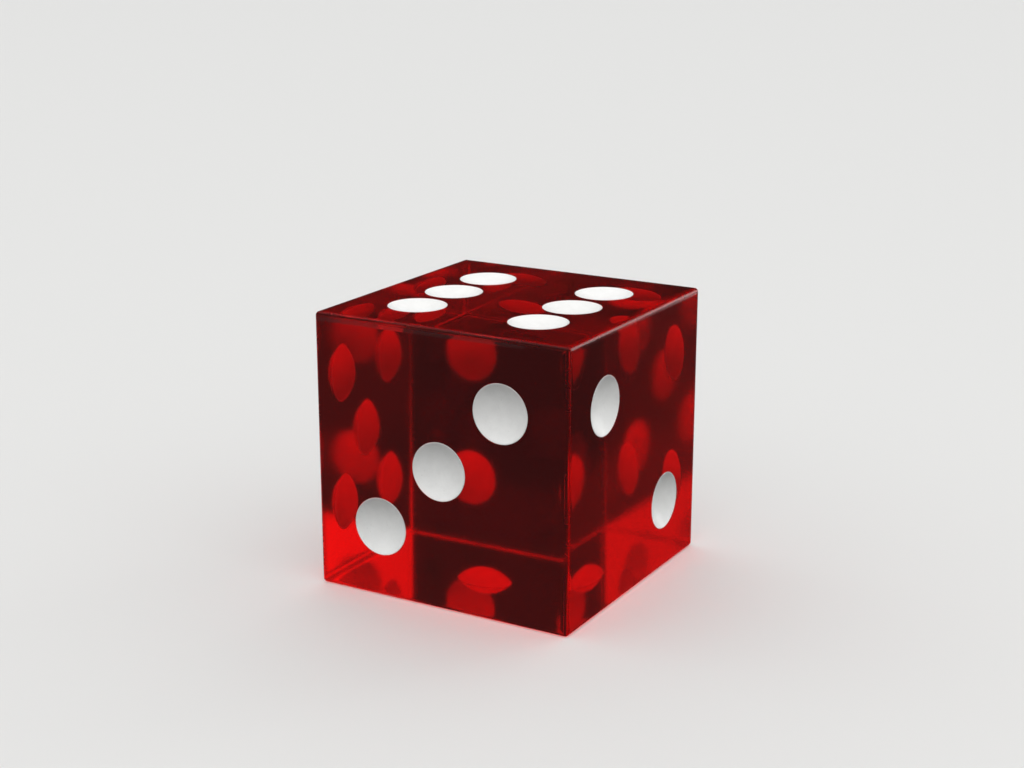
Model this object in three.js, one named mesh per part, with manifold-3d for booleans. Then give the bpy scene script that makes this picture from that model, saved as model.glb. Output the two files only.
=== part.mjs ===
// Casino die: a cube of clear red cellulose acetate with twenty-one spherical
// cups cut into its faces, each cup lined with opaque white enamel.
// Units are millimetres, +Z is up, and the origin is the centre of the cube.
//
// Opposite faces add up to seven, and one, two and three run anticlockwise
// round the corner they share, seen from outside that corner:
//   six +Z, one -Z, three -Y, four +Y, two +X, five -X.

import * as THREE from 'three';
import { RoundedBoxGeometry } from 'three/addons/geometries/RoundedBoxGeometry.js';
import { mergeVertices } from 'three/addons/utils/BufferGeometryUtils.js';
import Module from 'manifold-3d';

// ---- driving dimensions, mm ----
const EDGE = 19.05; // across flats, the 3/4 inch casino size
const EDGE_ROUND = 0.26; // radius on every edge and corner
const EDGE_STEPS = 3; // facets from a flat to the middle of a rounded edge
const PIP_RADIUS = 2.014; // mouth of a cup, where it meets the face
const PIP_PITCH = 4.614; // from a face's middle line to its outer pips
const CUP_ANGLE = 47; // degrees, between the cup's wall and the face at the mouth
const BOND_GAP = 0.02; // between the cup's wall and the back of its enamel
const PAINT_FLOOR = 0.16; // enamel thickness at the bottom of the cup
const PAINT_LIP = 0.045; // enamel width at the mouth
const PAINT_SHY = 0.01; // how far the enamel's lip stays below the face
const CUTTER_RISE = 1.0; // how far a cutter stands out of the face

// ---- mesh resolution ----
const ROUND_STEPS = 28; // segments round a cup
const DEPTH_STEPS = 3; // bands from a cup's bottom to its mouth
const WELD_TOLERANCE = 1e-5; // vertices closer than this become one

// ---- derived sizes ----
const HALF_EDGE = EDGE / 2;
const cupAngle = THREE.MathUtils.degToRad(CUP_ANGLE);
const BALL_RADIUS = PIP_RADIUS / Math.sin(cupAngle); // the ball that cuts a cup
const BALL_HEIGHT = BALL_RADIUS * Math.cos(cupAngle); // its centre, above the face
const CUP_DEPTH = BALL_RADIUS - BALL_HEIGHT;

// ---- finishes ----
const makeAcetate = () => new THREE.MeshStandardMaterial({
  name: 'red_acetate',
  color: 0x9c0d12,
  roughness: 0.06,
  metalness: 0,
  transparent: true,
  opacity: 0.85,
});

const makeEnamel = () => new THREE.MeshStandardMaterial({
  name: 'white_enamel',
  color: 0xeeeeea,
  roughness: 0.38,
  metalness: 0,
});

// ---- profiles, turned about the cup's own axis: x is radius, y is height over the face ----

// Points on a spherical cap, from its lowest point on the axis up to the height top.
function capArc(sphereRadius, centreHeight, top) {
  const endAngle = Math.acos((centreHeight - top) / sphereRadius);
  return Array.from({ length: DEPTH_STEPS + 1 }, (_, i) => {
    const angle = (endAngle * i) / DEPTH_STEPS;
    return new THREE.Vector2(
      sphereRadius * Math.sin(angle),
      centreHeight - sphereRadius * Math.cos(angle),
    );
  });
}

// The cutter: the ball's cap below the face and a plug that tapers in above it.
function cutterProfile() {
  return [
    ...capArc(BALL_RADIUS, BALL_HEIGHT, 0),
    new THREE.Vector2(PIP_RADIUS, CUTTER_RISE),
    new THREE.Vector2(0, CUTTER_RISE),
  ];
}

// The enamel: a shallow saucer. Its back follows the cup, and its front is a
// flatter cap, so it is thick at the bottom and thin at the lip.
function enamelProfile() {
  const back = capArc(BALL_RADIUS - BOND_GAP, BALL_HEIGHT, -PAINT_SHY);
  const frontRim = back.at(-1).x - PAINT_LIP;
  const frontDepth = CUP_DEPTH - BOND_GAP - PAINT_FLOOR - PAINT_SHY;
  // Radius of the sphere through the rim and the bottom of the front.
  const frontRadius = (frontRim * frontRim + frontDepth * frontDepth) / (2 * frontDepth);
  const front = capArc(frontRadius, frontRadius - frontDepth - PAINT_SHY, -PAINT_SHY);
  return [...back, ...front.reverse()];
}

// A turned solid whose axis is +Z, with the face in the plane z = 0.
function turned(profile) {
  return new THREE.LatheGeometry(profile, ROUND_STEPS).rotateX(Math.PI / 2);
}

// ---- conversion to and from Manifold solids ----
const wasm = await Module();
wasm.setup();

function toSolid(geometry) {
  // Normals and uvs differ across seams and would keep them from welding.
  const bare = geometry.clone();
  bare.deleteAttribute('normal');
  bare.deleteAttribute('uv');
  const welded = mergeVertices(bare, WELD_TOLERANCE);
  return new wasm.Manifold(new wasm.Mesh({
    numProp: 3,
    vertProperties: new Float32Array(welded.attributes.position.array),
    triVerts: new Uint32Array(welded.index.array),
  }));
}

function toGeometry(solid) {
  const mesh = solid.getMesh();
  const geometry = new THREE.BufferGeometry();
  const positions = new Float32Array(mesh.vertProperties);
  geometry.setAttribute('position', new THREE.BufferAttribute(positions, 3));
  geometry.setIndex(new THREE.BufferAttribute(new Uint32Array(mesh.triVerts), 1));
  geometry.computeVertexNormals();
  return geometry;
}

// ---- the six faces: in-plane axes across and up, and where the pips sit, in pitches ----
const X = new THREE.Vector3(1, 0, 0);
const Y = new THREE.Vector3(0, 1, 0);
const Z = new THREE.Vector3(0, 0, 1);
const minus = (v) => v.clone().negate();
const corners = [[-1, -1], [1, -1], [-1, 1], [1, 1]];

const faces = [
  { name: 'one', across: X, up: minus(Y), pips: [[0, 0]] },
  { name: 'two', across: Y, up: Z, pips: [[-1, 1], [1, -1]] },
  { name: 'three', across: X, up: Z, pips: [[-1, -1], [0, 0], [1, 1]] },
  { name: 'four', across: minus(X), up: Z, pips: corners },
  { name: 'five', across: minus(Y), up: Z, pips: [...corners, [0, 0]] },
  { name: 'six', across: X, up: Y, pips: [...corners, [-1, 0], [1, 0]] },
];

// A face's own frame: x across it, y up it, z straight out, origin at its middle.
function faceFrame({ across, up }) {
  const out = across.clone().cross(up);
  const middle = out.clone().multiplyScalar(HALF_EDGE);
  return new THREE.Matrix4().makeBasis(across, up, out).setPosition(middle);
}

// ---- the pieces ----

// The rounded cube with every cup cut out of it.
function makeBody() {
  const cutter = turned(cutterProfile());
  let body = toSolid(new RoundedBoxGeometry(EDGE, EDGE, EDGE, EDGE_STEPS, EDGE_ROUND));
  for (const face of faces) {
    for (const [across, up] of face.pips) {
      const placed = cutter.clone()
        .translate(across * PIP_PITCH, up * PIP_PITCH, 0)
        .applyMatrix4(faceFrame(face));
      body = body.subtract(toSolid(placed));
    }
  }
  const mesh = new THREE.Mesh(toGeometry(body), makeAcetate());
  mesh.name = 'die_body';
  return mesh;
}

// One face's enamel saucers, in a group that carries the face's frame.
function makeFacePips(face, saucer) {
  const frame = faceFrame(face);
  const faceGroup = new THREE.Group();
  faceGroup.position.setFromMatrixPosition(frame);
  faceGroup.quaternion.setFromRotationMatrix(frame);
  face.pips.forEach(([across, up], i) => {
    const pip = new THREE.Mesh(saucer, makeEnamel());
    pip.name = face.pips.length === 1 ? `pip_${face.name}` : `pip_${face.name}_${i + 1}`;
    pip.position.set(across * PIP_PITCH, up * PIP_PITCH, 0);
    faceGroup.add(pip);
  });
  return faceGroup;
}

// ---- the die ----
const group = new THREE.Group();
const saucer = turned(enamelProfile());
for (const face of faces) group.add(makeFacePips(face, saucer));
group.add(makeBody());

export default group;
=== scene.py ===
# A die of clear red acetate, its round cups lined with white enamel.
# It is centred on the origin with its faces square to the axes, and stands on a floor below it.
# The camera looks down at it from the +X -Y side. Shapes are worked out in millimetres.
import math

import bpy
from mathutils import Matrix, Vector
from mathutils.geometry import delaunay_2d_cdt


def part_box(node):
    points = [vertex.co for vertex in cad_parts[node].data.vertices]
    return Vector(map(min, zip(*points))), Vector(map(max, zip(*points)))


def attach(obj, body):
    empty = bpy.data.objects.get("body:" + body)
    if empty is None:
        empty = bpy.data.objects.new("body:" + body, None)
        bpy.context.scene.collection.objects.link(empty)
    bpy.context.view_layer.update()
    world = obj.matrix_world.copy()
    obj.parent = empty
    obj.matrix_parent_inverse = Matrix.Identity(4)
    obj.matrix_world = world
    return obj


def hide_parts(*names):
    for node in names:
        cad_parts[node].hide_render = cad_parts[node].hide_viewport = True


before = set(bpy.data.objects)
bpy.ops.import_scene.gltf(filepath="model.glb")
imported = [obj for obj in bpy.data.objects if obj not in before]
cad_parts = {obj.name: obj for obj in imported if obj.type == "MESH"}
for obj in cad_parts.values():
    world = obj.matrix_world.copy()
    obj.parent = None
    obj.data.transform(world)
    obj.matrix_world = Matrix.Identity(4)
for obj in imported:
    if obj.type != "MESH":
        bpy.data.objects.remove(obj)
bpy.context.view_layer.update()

# ---------------------------------------------------------------- sizes, mm
MM = 0.001             # one millimetre in metres
BODY_LOW, BODY_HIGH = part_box("die_body")
HALF = (BODY_HIGH.x - BODY_LOW.x) / MM / 2
EDGE_ROUND = 0.26      # radius on the cube's edges and corners
FLAT = HALF - EDGE_ROUND
PIP_RADIUS = 2.014     # mouth of a cup, before its lip is rounded
CUP_ANGLE = math.radians(47)
LIP_ROUND = 0.035      # radius on the cup's lip
PAINT_FLOOR = 0.16     # enamel's thickness at its middle
PAINT_SHY = 0.012      # the enamel stops this far below the face
PAINT_GAP = 0.006      # between the cup and the enamel's back
PAINT_LIP = 0.022      # radius of the enamel's thin lip

CUP_SPHERE = PIP_RADIUS / math.sin(CUP_ANGLE)
CUP_CENTRE = CUP_SPHERE * math.cos(CUP_ANGLE)   # height of the sphere's middle above the face
CUP_DEPTH = CUP_SPHERE - CUP_CENTRE

# mesh counts
ROUND = 96             # points round a cup
CELLS = 16             # cells along a face's flat
HALF_STEPS = 5         # facets in half of an edge's quarter round
LIP_STEPS = 5          # bands on a cup's lip
CUP_BANDS = 14         # bands on a cup's wall
PAINT_BANDS = 12       # bands on the enamel's back, and on its face
PAINT_LIP_STEPS = 6


# ---------------------------------------------------------------- faces and pips
def face_axes(normal):
    """A face's three axes: across it, up it and out of it."""
    out = Vector(normal)
    main = max(range(3), key=lambda i: abs(out[i]))
    across = Vector(((0, out.x, 0), (-out.y, 0, 0), (1, 0, 0))[main])
    return across, out.cross(across), out


def lay(axes, x, y, z):
    """The vector that runs x across a face, y up it and z out of it."""
    across, up, out = axes
    return across * x + up * y + out * z


def find_pips():
    """Where each CAD pip sits: (node, face normal, (middle across, middle up))."""
    pips = []
    for node in sorted(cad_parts):
        if node == "die_body":
            continue
        low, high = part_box(node)
        middle, size = (low + high) / 2 / MM, high - low
        thin = min(range(3), key=lambda i: size[i])
        normal = [0, 0, 0]
        normal[thin] = 1 if middle[thin] > 0 else -1
        across, up, _ = face_axes(normal)
        pips.append((node, tuple(normal), (middle.dot(across), middle.dot(up))))
    return pips


# ---------------------------------------------------------------- sections
# Rows are (radius, height above the face, normal's radius part, normal's height part).
def sphere_row(radius, centre, tilt, facing=1):
    """A row on the bottom of a sphere; its normal faces in (1) or out (-1)."""
    return (
        radius * math.sin(tilt), centre - radius * math.cos(tilt),
        -facing * math.sin(tilt), facing * math.cos(tilt),
    )


def cup_section():
    """The cup from its lip to its bottom."""
    lip_x = math.sqrt((CUP_SPHERE + LIP_ROUND) ** 2 - (CUP_CENTRE + LIP_ROUND) ** 2)
    end = math.atan2(CUP_CENTRE + LIP_ROUND, -lip_x)
    rows = []
    for i in range(LIP_STEPS + 1):
        turn = math.pi / 2 + (end - math.pi / 2) * i / LIP_STEPS
        rows.append((
            lip_x + LIP_ROUND * math.cos(turn), -LIP_ROUND + LIP_ROUND * math.sin(turn),
            math.cos(turn), math.sin(turn),
        ))
    start = math.asin(rows[-1][0] / CUP_SPHERE)
    for i in range(1, CUP_BANDS + 1):
        rows.append(sphere_row(CUP_SPHERE, CUP_CENTRE, start * (1 - i / CUP_BANDS)))
    return rows


def enamel_section():
    """The enamel: out along its back, round its thin lip and in over its face to the axis."""
    back_radius = CUP_SPHERE - PAINT_GAP
    end = math.acos((CUP_CENTRE + PAINT_SHY) / back_radius)
    rows = [
        sphere_row(back_radius, CUP_CENTRE, end * i / PAINT_BANDS, facing=-1)
        for i in range(PAINT_BANDS + 1)
    ]
    edge = rows[-1][0]
    for i in range(1, PAINT_LIP_STEPS):
        turn = math.radians(-20 + 150 * i / PAINT_LIP_STEPS)
        rows.append((
            edge - PAINT_LIP + PAINT_LIP * math.cos(turn),
            -PAINT_SHY - 0.004 + PAINT_LIP * 0.6 * math.sin(turn),
            math.cos(turn), math.sin(turn),
        ))
    # the face is a flatter cap than the back
    face_edge = edge - 2 * PAINT_LIP * 0.9
    depth = CUP_DEPTH - PAINT_GAP - PAINT_FLOOR
    radius = (face_edge**2 + depth**2) / (2 * depth)
    start = math.asin(face_edge / radius)
    for i in range(PAINT_BANDS + 1):
        rows.append(sphere_row(radius, radius - depth, start * (1 - i / PAINT_BANDS)))
    return rows


PIPS = find_pips()
CUP = cup_section()
ENAMEL = enamel_section()
MOUTH = CUP[0][0]


# ---------------------------------------------------------------- meshes
class Builder:
    """Collects points, with their own exact normals, into one welded mesh."""

    def __init__(self):
        self.keys, self.points, self.normals, self.faces, self.slots = {}, [], [], [], []

    def point(self, place, normal):
        key = tuple(round(c * 5000) for c in place)
        if key not in self.keys:
            self.keys[key] = len(self.points)
            self.points.append(tuple(place))
            self.normals.append(tuple(normal))
        return self.keys[key]

    def face(self, ids, slot=0):
        """Adds a face, dropping repeated corners."""
        ids = [point for i, point in enumerate(ids) if point != ids[i - 1]]
        if len(ids) > 2:
            self.faces.append(ids)
            self.slots.append(slot)

    def turn(self, axes, middle, section, second_from=math.inf):
        """Turns a section about a pip's middle; bands from second_from on use slot 1."""
        rows = [
            [
                self.point(
                    lay(axes, middle[0] + radius * x, middle[1] + radius * y, HALF + height),
                    lay(axes, normal_out * x, normal_out * y, normal_up),
                )
                for x, y in ring((0, 0), 1.0, ROUND)
            ]
            for radius, height, normal_out, normal_up in section
        ]
        for band, (top, bottom) in enumerate(zip(rows, rows[1:])):
            for i in range(ROUND):
                j = (i + 1) % ROUND
                self.face([top[i], top[j], bottom[j], bottom[i]], int(band >= second_from))

    def mesh(self, name):
        mesh = bpy.data.meshes.new(name)
        mesh.from_pydata([tuple(c * MM for c in place) for place in self.points], [], self.faces)
        mesh.update()
        mesh.polygons.foreach_set("use_smooth", [True] * len(mesh.polygons))
        mesh.polygons.foreach_set("material_index", self.slots)
        mesh.normals_split_custom_set_from_vertices(self.normals)
        mesh.update()
        return mesh


def ring(centre, radius, count, shift=0.0):
    """Points round a circle, turned on by shift steps."""
    angles = [2 * math.pi * (i + shift) / count for i in range(count)]
    return [(centre[0] + radius * math.cos(a), centre[1] + radius * math.sin(a)) for a in angles]


def place_on(axes, x, y, tilt_x=0.0, tilt_y=0.0):
    """A point of the cube's skin and its normal; the tilts carry it round an edge."""
    normal = lay(axes, math.tan(tilt_x), math.tan(tilt_y), 1.0).normalized()
    return lay(axes, x, y, FLAT) + normal * EDGE_ROUND, normal


def add_flat(built, axes, holes):
    """Triangles over a face's flat square, with round holes for the cups."""
    step = 2 * FLAT / CELLS
    clear = MOUTH * 1.17    # outer of two guide rings round each hole
    grid = [-FLAT + step * i for i in range(CELLS + 1)]
    points = (
        [(x, -FLAT) for x in grid[:-1]]
        + [(FLAT, y) for y in grid[:-1]]
        + [(x, FLAT) for x in reversed(grid[1:])]
        + [(-FLAT, y) for y in reversed(grid[1:])]
    )
    edges = [(i, (i + 1) % len(points)) for i in range(len(points))]
    for hole in holes:
        start = len(points)
        points += ring(hole, MOUTH, ROUND)
        edges += [(start + i, start + (i + 1) % ROUND) for i in range(ROUND)]
        points += ring(hole, MOUTH * 1.06, ROUND // 2, shift=0.25)
        points += ring(hole, clear, ROUND // 4)
    for x in grid[1:-1]:
        for y in grid[1:-1]:
            if all(math.hypot(x - h[0], y - h[1]) > clear + 0.45 * step for h in holes):
                points.append((x, y))
    spots, _, faces, *_ = delaunay_2d_cdt([Vector(p) for p in points], edges, [], 0, 1e-7)
    for face in faces:
        middle = sum((spots[i] for i in face), Vector((0, 0))) / len(face)
        if any(math.hypot(middle.x - h[0], middle.y - h[1]) < MOUTH * 0.999 for h in holes):
            continue
        area = sum(spots[face[i - 1]].cross(spots[face[i]]) for i in range(len(face)))
        order = face if area > 0 else reversed(face)
        built.face([built.point(*place_on(axes, spots[i].x, spots[i].y)) for i in order])


def build_body():
    """The cube: rounded edges and corners, pierced flats and the cups."""
    built = Builder()
    tilts = [math.radians(-45 + 45 * i / HALF_STEPS) for i in range(HALF_STEPS)]
    # (place, tilt) of each grid line from one side of a face to the other
    lines = (
        [(-FLAT, tilt) for tilt in tilts]
        + [(-FLAT + 2 * FLAT * i / CELLS, 0.0) for i in range(CELLS + 1)]
        + [(FLAT, -tilt) for tilt in reversed(tilts)]
    )
    flat_cells = range(HALF_STEPS, HALF_STEPS + CELLS)
    for axis in range(3):
        for sign in (1, -1):
            normal = [0, 0, 0]
            normal[axis] = sign
            axes = face_axes(normal)
            for i in range(len(lines) - 1):
                for j in range(len(lines) - 1):
                    if i in flat_cells and j in flat_cells:
                        continue
                    corners = ((i, j), (i + 1, j), (i + 1, j + 1), (i, j + 1))
                    built.face([
                        built.point(*place_on(
                            axes, lines[x][0], lines[y][0], lines[x][1], lines[y][1]
                        ))
                        for x, y in corners
                    ])
            holes = [middle for _, face, middle in PIPS if face == tuple(normal)]
            add_flat(built, axes, holes)
            for hole in holes:
                built.turn(axes, hole, CUP, second_from=LIP_STEPS)
    return built


def build_enamel(normal, middle):
    built = Builder()
    built.turn(face_axes(normal), middle, ENAMEL)
    built.normals = [tuple(Vector(way).normalized()) for way in built.normals]
    return built


# ---------------------------------------------------------------- shader helpers
class Nodes:
    """Short ways to add the shader nodes of one material or world."""

    def __init__(self, owner):
        owner.use_nodes = True
        self.tree = owner.node_tree
        self.tree.nodes.clear()

    def add(self, kind, inputs=None, **settings):
        """Adds a node; inputs maps a socket's name or number to a value or an output."""
        node = self.tree.nodes.new(kind)
        for name, value in settings.items():
            setattr(node, name, value)
        for key, value in (inputs or {}).items():
            if isinstance(value, bpy.types.NodeSocket):
                self.tree.links.new(value, node.inputs[key])
            else:
                node.inputs[key].default_value = value
        return node

    def math(self, operation, a, b=0.0, c=0.0):
        return self.add("ShaderNodeMath", {0: a, 1: b, 2: c}, operation=operation).outputs[0]

    def times(self, a, b):
        return self.math("MULTIPLY", a, b)

    def minus(self, a, b):
        return self.math("SUBTRACT", a, b)

    def scale_add(self, value, by, plus):
        return self.math("MULTIPLY_ADD", value, by, plus)

    def xyz(self, vector):
        return self.add("ShaderNodeSeparateXYZ", {0: vector}).outputs

    def along(self, vector, way):
        inputs = {0: vector, 1: way}
        return self.add("ShaderNodeVectorMath", inputs, operation="DOT_PRODUCT").outputs["Value"]

    def smooth(self, value, start, end):
        """Rises smoothly from 0 at start to 1 at end, either of which may be the larger."""
        inputs = {0: value, 1: start, 2: end}
        node = self.add("ShaderNodeMapRange", inputs, interpolation_type="SMOOTHSTEP")
        return node.outputs[0]

    def choose(self, factor, off, on):
        """off where the factor is 0, on where it is 1."""
        return self.add("ShaderNodeMix", {0: factor, 2: off, 3: on}, data_type="FLOAT").outputs[0]

    def tint(self, factor, colour, by):
        """Multiplies a colour by another, as far as the factor says."""
        inputs = {0: factor, 6: colour, 7: (*by, 1)}
        node = self.add("ShaderNodeMix", inputs, data_type="RGBA", blend_type="MULTIPLY")
        return node.outputs[2]

    def millimetres(self):
        """The object's own coordinates in millimetres."""
        place = self.add("ShaderNodeTexCoord").outputs["Object"]
        inputs = {0: place, "Scale": 1 / MM}
        return self.add("ShaderNodeVectorMath", inputs, operation="SCALE").outputs["Vector"]

    def noise(self, where, scale, detail, shift, rough=0.5, stretch=(1, 1, 1), turn=(0, 0, 0)):
        """Noise with its scale per millimetre; stretch makes it long one way."""
        mapping = self.add("ShaderNodeMapping", {
            "Vector": where, "Location": (shift, shift * 0.7, -shift),
            "Rotation": turn, "Scale": stretch,
        })
        return self.add("ShaderNodeTexNoise", {
            "Vector": mapping.outputs["Vector"],
            "Scale": scale, "Detail": detail, "Roughness": rough,
        }).outputs["Fac"]

    def bump(self, height, distance, under=None):
        """A bump of so many millimetres, over another bump if one is given."""
        inputs = {"Height": height, "Strength": 1.0, "Distance": distance * MM}
        if under is not None:
            inputs["Normal"] = under
        return self.add("ShaderNodeBump", inputs).outputs["Normal"]


def new_material(name):
    mat = bpy.data.materials.new(name)
    return mat, Nodes(mat)


# ---------------------------------------------------------------- acetate
ROUGHNESS = 0.12

# Three families of scratches: (turn, stretch, shift, line width, patch threshold)
HAIRLINES = [
    ((0.2, 0.4, 0.5), (0.16, 2.6, 1.9), 5, 0.010, 0.54),
    ((0.9, 0.1, 1.9), (2.3, 0.14, 2.1), 17, 0.009, 0.56),
    ((0.3, 1.1, 0.9), (2.0, 2.4, 0.15), 23, 0.009, 0.56),
]


def hairlines(tree, where, turn, stretch, shift, width, keep):
    """Thin long scratches: the middle contour of a stretched noise, kept only in patches."""
    field = tree.noise(where, scale=0.35, detail=1.0, shift=shift, stretch=stretch, turn=turn)
    off_middle = tree.math("ABSOLUTE", tree.minus(field, 0.5))
    line = tree.minus(1.0, tree.smooth(off_middle, start=0.0, end=width))
    patches = tree.noise(where, scale=0.3, detail=1.0, shift=shift + 31)
    return tree.times(line, tree.smooth(patches, start=keep, end=keep + 0.08))


def roll_off(tree, at, second):
    """Faces rolled off towards their edges, most of all along the top of the -Y face."""
    width = 0.30
    inward = tree.minus(tree.math("MINIMUM", second, FLAT), FLAT - width)
    roll = tree.math("DIVIDE", tree.math("MAXIMUM", inward, 0.0), width)
    rolled = tree.bump(tree.times(roll, tree.times(roll, -1.0)), distance=0.017)
    # the wider lap at the top of -Y narrows slightly towards +X and fades out there
    start = tree.scale_add(at["X"], by=0.0075, plus=FLAT - 0.25)
    lap = tree.minus(tree.math("MINIMUM", at["Z"], FLAT), start)
    lap = tree.math("MAXIMUM", lap, 0.0)
    on_face = tree.smooth(at["Y"], start=0.3 - HALF, end=0.2 - HALF)
    lap = tree.times(lap, tree.times(on_face, tree.smooth(at["X"], start=6.6, end=6.0)))
    return tree.bump(tree.times(lap, -1.0), distance=0.20, under=rolled)


def acetate():
    """Clear red acetate: faintly hazy and wavy, with hairlines and softer, duller edges."""
    mat, tree = new_material("red_acetate_clear")
    where = tree.millimetres()
    at = tree.xyz(where)
    x, y, z = (tree.math("ABSOLUTE", at[axis]) for axis in "XYZ")
    # the second largest of the three only reaches the flat's end at an edge
    second = tree.math(
        "MAXIMUM",
        tree.math("MINIMUM", x, y),
        tree.math("MINIMUM", tree.math("MAXIMUM", x, y), z),
    )
    edge = tree.smooth(second, start=FLAT - 0.04, end=FLAT + 0.03)

    smear = tree.noise(where, scale=0.16, detail=4.0, rough=0.55, shift=3)
    smear = tree.smooth(smear, start=0.50, end=0.68)
    cloud = tree.noise(where, scale=0.9, detail=3.0, rough=0.6, shift=11)
    first, *others = HAIRLINES
    scratch = hairlines(tree, where, *first)
    for family in others:
        scratch = tree.math("MAXIMUM", scratch, hairlines(tree, where, *family))

    # the top has had the better polish
    facing = tree.xyz(tree.add("ShaderNodeTexCoord").outputs["Normal"])["Z"]
    top = tree.smooth(facing, start=0.85, end=0.97)
    rough = tree.scale_add(top, by=-0.055, plus=ROUGHNESS - 0.012)
    for mask, amount in ((smear, 0.022), (cloud, 0.012), (scratch, 0.03), (edge, 0.15)):
        rough = tree.scale_add(mask, by=amount, plus=rough)

    skin = roll_off(tree, at, second)
    wave = tree.noise(where, scale=0.11, detail=1.0, shift=7)
    skin = tree.bump(wave, distance=0.006, under=skin)
    skin = tree.bump(tree.minus(1.0, scratch), distance=0.0007, under=skin)
    nicks = tree.times(tree.noise(where, scale=3.5, detail=2.0, shift=2), edge)
    skin = tree.bump(nicks, distance=0.004, under=skin)

    surface = tree.add("ShaderNodeBsdfPrincipled", {
        "Base Color": (0.93, 0.0010, 0.0014, 1), "Transmission Weight": 1.0, "IOR": 1.45,
        "Roughness": rough, "Normal": skin,
    })
    volume = tree.add("ShaderNodeVolumeAbsorption", {
        "Color": (0.998, 0.0, 0.0, 1), "Density": 900.0,
    })
    tree.add("ShaderNodeOutputMaterial", {
        "Surface": surface.outputs[0], "Volume": volume.outputs[0],
    })
    return mat


# ---------------------------------------------------------------- enamel
def enamel(name, low_shade, high_shade, rough, peel):
    """White enamel: chalky mottle, specks and pinholes, and an orange-peel skin."""
    mat, tree = new_material(name)
    where = tree.millimetres()
    batch = tree.noise(where, scale=0.12, detail=0.0, shift=40)
    mottle = tree.noise(where, scale=1.6, detail=3.0, rough=0.62, shift=9)
    grain = tree.noise(where, scale=9.0, detail=2.0, rough=0.7, shift=21)
    tone = tree.scale_add(grain, by=0.30, plus=tree.times(mottle, 0.70))
    tone = tree.scale_add(tree.minus(batch, 0.5), by=0.5, plus=tone)
    ramp = tree.add("ShaderNodeValToRGB", {0: tone})
    stops = ((0.30, low_shade), (0.70, high_shade))
    for stop, (position, shade) in zip(ramp.color_ramp.elements, stops):
        stop.position = position
        stop.color = (*shade, 1)

    # pinholes, in patches
    cells = tree.add("ShaderNodeTexVoronoi", {"Vector": where, "Scale": 3.4}, feature="F1")
    pin = tree.minus(1.0, tree.smooth(cells.outputs["Distance"], start=0.06, end=0.13))
    patches = tree.noise(where, scale=1.1, detail=0.0, shift=51)
    pin = tree.times(pin, tree.smooth(patches, start=0.50, end=0.60))
    colour = tree.tint(tree.times(pin, 0.5), ramp.outputs[0], by=(0.62, 0.60, 0.58))
    # painted shade: the one, on the underside, is darkened as the floor beneath would shade it
    under = tree.smooth(tree.xyz(where)["Z"], start=-8.3, end=-8.7)
    colour = tree.tint(under, colour, by=(0.81, 0.80, 0.79))

    rough = tree.scale_add(grain, by=0.10, plus=rough - 0.16)
    rough = tree.scale_add(mottle, by=0.22, plus=rough)
    dimples = tree.noise(where, scale=2.6, detail=1.0, shift=14)
    skin = tree.bump(dimples, distance=0.012 * peel)
    pitted = tree.scale_add(pin, by=-1.0, plus=grain)
    skin = tree.bump(pitted, distance=0.004 * peel, under=skin)
    surface = tree.add("ShaderNodeBsdfPrincipled", {
        "Base Color": colour, "Roughness": rough, "Normal": skin,
    })
    tree.add("ShaderNodeOutputMaterial", {"Surface": surface.outputs[0]})
    return mat


# ---------------------------------------------------------------- the die
def make_object(name, mesh, *materials):
    ob = bpy.data.objects.new(name, mesh)
    for mat in materials:
        mesh.materials.append(mat)
    bpy.context.scene.collection.objects.link(ob)
    return ob


def make_die():
    red = acetate()
    wall = enamel(
        "enamel_bond", low_shade=(0.80, 0.80, 0.78), high_shade=(0.90, 0.90, 0.88),
        rough=0.6, peel=0.5,
    )
    white = enamel(
        "white_enamel_face", low_shade=(0.83, 0.83, 0.815), high_shade=(0.90, 0.90, 0.885),
        rough=0.36, peel=1.0,
    )
    shell = make_object("acetate_cube", build_body().mesh("acetate_cube"), red, wall)
    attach(shell, "root")
    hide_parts("die_body")
    for node, normal, middle in PIPS:
        mesh = build_enamel(normal, middle).mesh(node)
        piece = make_object(node.replace("pip", "enamel"), mesh, white)
        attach(piece, "root")
        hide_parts(node)


# ---------------------------------------------------------------- floor and world
# Level ways that bound the lighting
AWAY = (-0.5, 0.866, 0)          # from the camera, past the die
FAR_X_Y = (0.5, 0.866, 0)        # to +X +Y
NEAR_X_Y = (-0.5, -0.866, 0)     # to -X -Y
EAST = (0.822, -0.569, 0)        # to +X -Y


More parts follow.
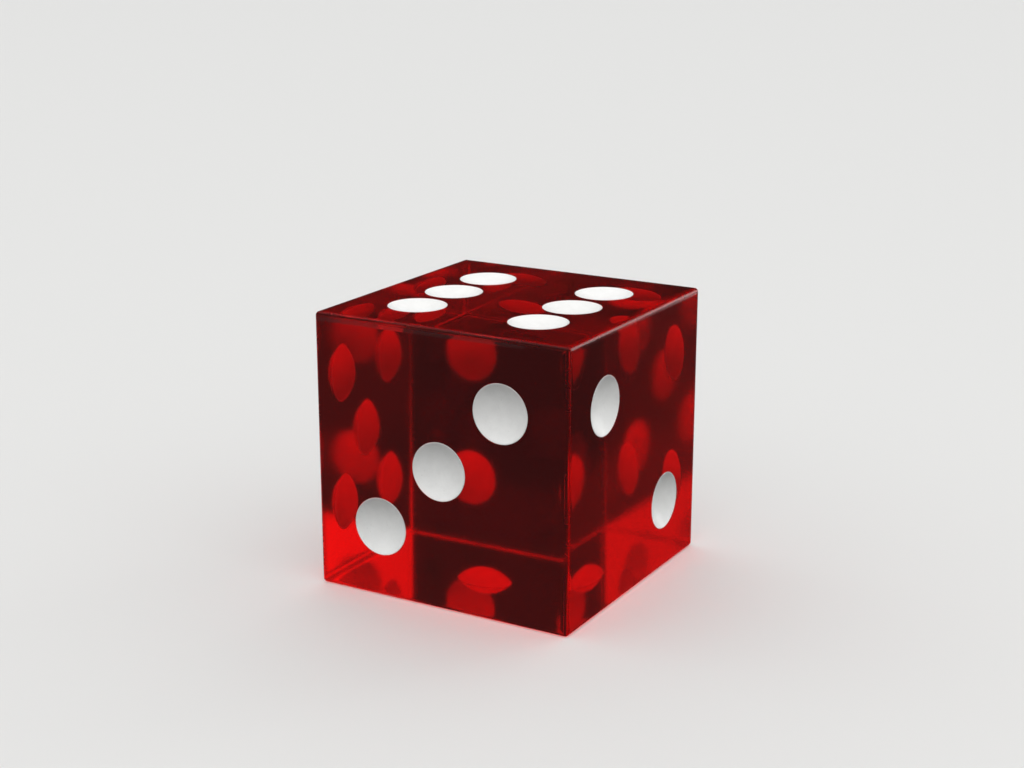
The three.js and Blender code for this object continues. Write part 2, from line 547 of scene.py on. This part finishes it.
def floor_material():
    """Pale paint to the camera, and a glow of chosen strength to every other ray."""
    mat, tree = new_material("pale_floor")
    path = tree.add("ShaderNodeLightPath").outputs
    place = tree.add("ShaderNodeNewGeometry").outputs["Position"]
    at = tree.xyz(place)
    paint = tree.add("ShaderNodeBsdfPrincipled", {
        "Base Color": (0.78, 0.78, 0.77, 1), "Roughness": 0.8,
    })
    lighting = tree.math("GREATER_THAN", path["Diffuse Depth"], 0.5)
    # what the die's faces mirror: a darker table, its far part lit by the soft box
    near = tree.math("LESS_THAN", at["Y"], -HALF * MM)
    mirrored = tree.choose(near, off=0.05, on=0.14)
    far = tree.smooth(tree.along(place, FAR_X_Y), start=0.11, end=0.15)
    mirrored = tree.choose(far, off=mirrored, on=2.2)
    # what is seen through it: darker on the -X +Y side, darkest under the die
    corner = tree.times(
        tree.smooth(at["X"], start=0.012, end=-0.002),
        tree.smooth(at["Y"], start=0.0, end=0.008),
    )
    through = tree.choose(corner, off=0.056, on=0.029)
    within = [
        tree.math("LESS_THAN", tree.math("ABSOLUTE", at[axis]), HALF * MM) for axis in "XY"
    ]
    through = tree.choose(tree.times(*within), off=through, on=0.015)
    level = tree.choose(path["Is Transmission Ray"], off=mirrored, on=through)
    # light it gives to the pips, outside and through the acetate
    light = tree.choose(path["Is Transmission Ray"], off=0.02, on=0.02)
    level = tree.choose(lighting, off=level, on=light)
    glow = tree.add("ShaderNodeEmission", {"Color": (1, 1, 1, 1), "Strength": level})
    mix = tree.add("ShaderNodeMixShader", {
        0: path["Is Camera Ray"], 1: glow.outputs[0], 2: paint.outputs[0],
    })
    tree.add("ShaderNodeOutputMaterial", {"Surface": mix.outputs[0]})
    return mat


def make_floor():
    mat = floor_material()
    mesh = bpy.data.meshes.new("floor")
    half = 1.5     # metres
    corners = [(-half, -half, 0), (half, -half, 0), (half, half, 0), (-half, half, 0)]
    mesh.from_pydata(corners, [], [(0, 1, 2, 3)])
    ob = make_object("floor", mesh, mat)
    ob.location = (0, 0, BODY_LOW.z - 0.00001)


def make_world():
    """A studio that shows a different brightness to each kind of ray."""
    world = bpy.data.worlds.new("studio")
    bpy.context.scene.world = world
    tree = Nodes(world)
    path = tree.add("ShaderNodeLightPath").outputs
    way = tree.add("ShaderNodeTexCoord").outputs["Generated"]
    up = tree.xyz(way)["Z"]
    lighting = tree.math("GREATER_THAN", path["Diffuse Depth"], 0.5)
    # light that falls on the pips: from outside, and through the acetate
    outside = tree.scale_add(tree.math("MAXIMUM", up, 0.0), by=-0.60, plus=1.63)
    rise = tree.scale_add(tree.smooth(up, start=0.0, end=0.36), by=0.52, plus=0.48)
    outside = tree.times(outside, rise)
    front = tree.smooth(tree.along(way, (0, -1, 0)), start=0.2, end=0.8)
    inside = tree.choose(front, off=0.42, on=0.27)
    inside = tree.choose(tree.smooth(up, start=0.55, end=0.85), off=inside, on=2.95)
    lit = tree.choose(path["Is Transmission Ray"], off=outside, on=inside)
    # what is seen through the die: dark behind it, light to both sides
    behind = tree.smooth(tree.along(way, AWAY), start=0.60, end=0.72)
    low_down = tree.minus(1.0, tree.smooth(up, start=0.55, end=0.70))
    dark = tree.times(behind, low_down)
    east = tree.smooth(tree.along(way, EAST), start=-0.02, end=0.02)
    right = tree.choose(east, off=0.50, on=1.15)
    far = tree.smooth(tree.along(way, FAR_X_Y), start=-0.1, end=0.1)
    side = tree.choose(far, off=0.70, on=right)
    through = tree.choose(dark, off=side, on=0.026)
    # what its faces mirror: a soft box to +X +Y, a dim one overhead, a pale wall to -X -Y
    box = tree.times(
        tree.smooth(tree.along(way, (0, 1, 0)), start=0.70, end=0.80),
        tree.smooth(tree.along(way, (1, 0, 0)), start=0.26, end=0.38),
    )
    wall = tree.times(
        tree.smooth(tree.along(way, NEAR_X_Y), start=0.70, end=0.80),
        tree.smooth(up, start=0.42, end=0.30),
    )
    mirrored = tree.choose(tree.smooth(up, start=0.60, end=0.72), off=0.018, on=0.38)
    mirrored = tree.choose(wall, off=mirrored, on=0.32)
    mirrored = tree.choose(box, off=mirrored, on=2.8)
    level = tree.choose(path["Is Transmission Ray"], off=mirrored, on=through)
    level = tree.choose(lighting, off=level, on=lit)
    level = tree.choose(path["Is Camera Ray"], off=level, on=0.77)
    shine = tree.add("ShaderNodeBackground", {"Color": (1, 1, 1, 1), "Strength": level})
    tree.add("ShaderNodeOutputWorld", {"Surface": shine.outputs[0]})


# ---------------------------------------------------------------- camera and render
def make_camera():
    lens = bpy.data.cameras.new("camera")
    lens.lens = 63.08
    lens.sensor_width = 36
    lens.clip_start, lens.clip_end = 0.005, 10
    camera = bpy.data.objects.new("camera", lens)
    bpy.context.scene.collection.objects.link(camera)
    # turned from -Y towards +X, and raised
    turn, rise = math.radians(29.98), math.radians(16.04)
    back = Vector((
        math.sin(turn) * math.cos(rise), -math.cos(turn) * math.cos(rise), math.sin(rise),
    ))
    camera.location = (0.05903, -0.10233, 0.03752)
    camera.rotation_euler = (-back).to_track_quat("-Z", "Y").to_euler()
    bpy.context.scene.camera = camera


def set_render():
    """Enough bounces for light to cross the die many times."""
    scene = bpy.context.scene
    scene.view_settings.view_transform = "Standard"
    cycles = scene.cycles
    cycles.max_bounces = 32
    cycles.transmission_bounces = 32
    cycles.glossy_bounces = 16
    cycles.diffuse_bounces = 4
    cycles.transparent_max_bounces = 16
    cycles.volume_bounces = 0
    cycles.caustics_refractive = True
    cycles.caustics_reflective = True
    cycles.blur_glossy = 0.0
    cycles.sample_clamp_indirect = 10.0


make_die()
make_floor()
make_world()
make_camera()
set_render()
